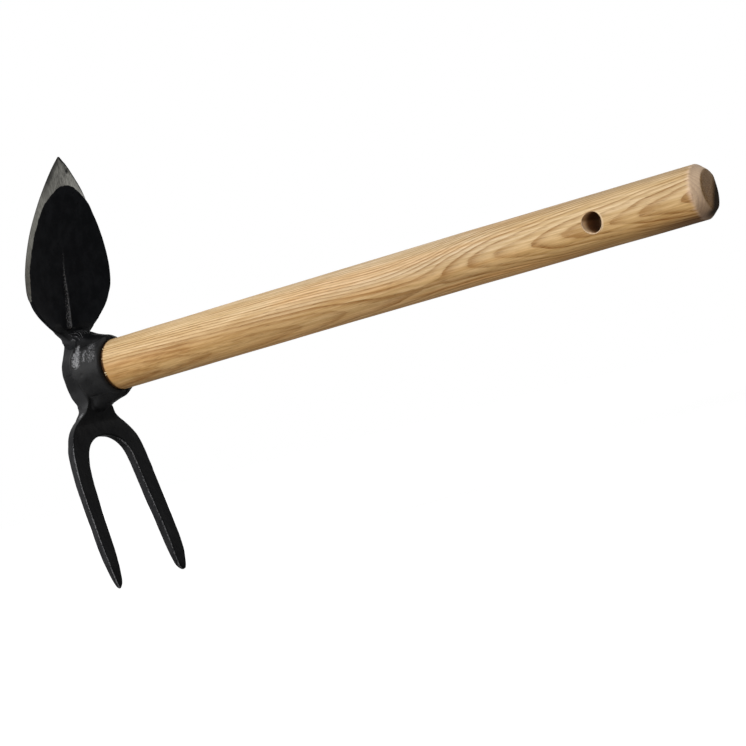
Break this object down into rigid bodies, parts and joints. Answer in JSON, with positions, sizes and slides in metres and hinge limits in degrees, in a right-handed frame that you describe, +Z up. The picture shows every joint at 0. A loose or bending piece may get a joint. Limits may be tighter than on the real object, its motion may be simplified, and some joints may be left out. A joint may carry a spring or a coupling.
{
  "type": "heart hoe",
  "caption": "Short-handled combination hoe: a heart-shaped blade and a two-tine fork on one eye, on a straight ash handle with a hanging hole.",
  "frame": {"origin": "centre of the handle's flat end face, on the handle's axis", "axes": "+X along the handle and out of its free end, +Z up towards the tip of the heart, +Y across the blade"},
  "size_m": [0.4005, 0.0774, 0.2431],
  "materials": {
    "ash": "pale ash, sanded, fine straight grain with brown figure on its lower side",
    "wedge_steel": "plain rolled steel",
    "lacquered_steel": "satin black lacquer over forged steel",
    "blade_steel": "satin black lacquer, with a bare ground edge at the tip and along one side",
    "weld_steel": "satin black lacquer over a rippled weld"
  },
  "bodies": {
    "root": {"handle": "ash", "eye_wedge": "wedge_steel", "eye_socket": "lacquered_steel", "heart_blade": "blade_steel", "fork": "lacquered_steel", "blade_weld": "weld_steel", "fork_weld": "weld_steel"}
  },
  "joints": []
}
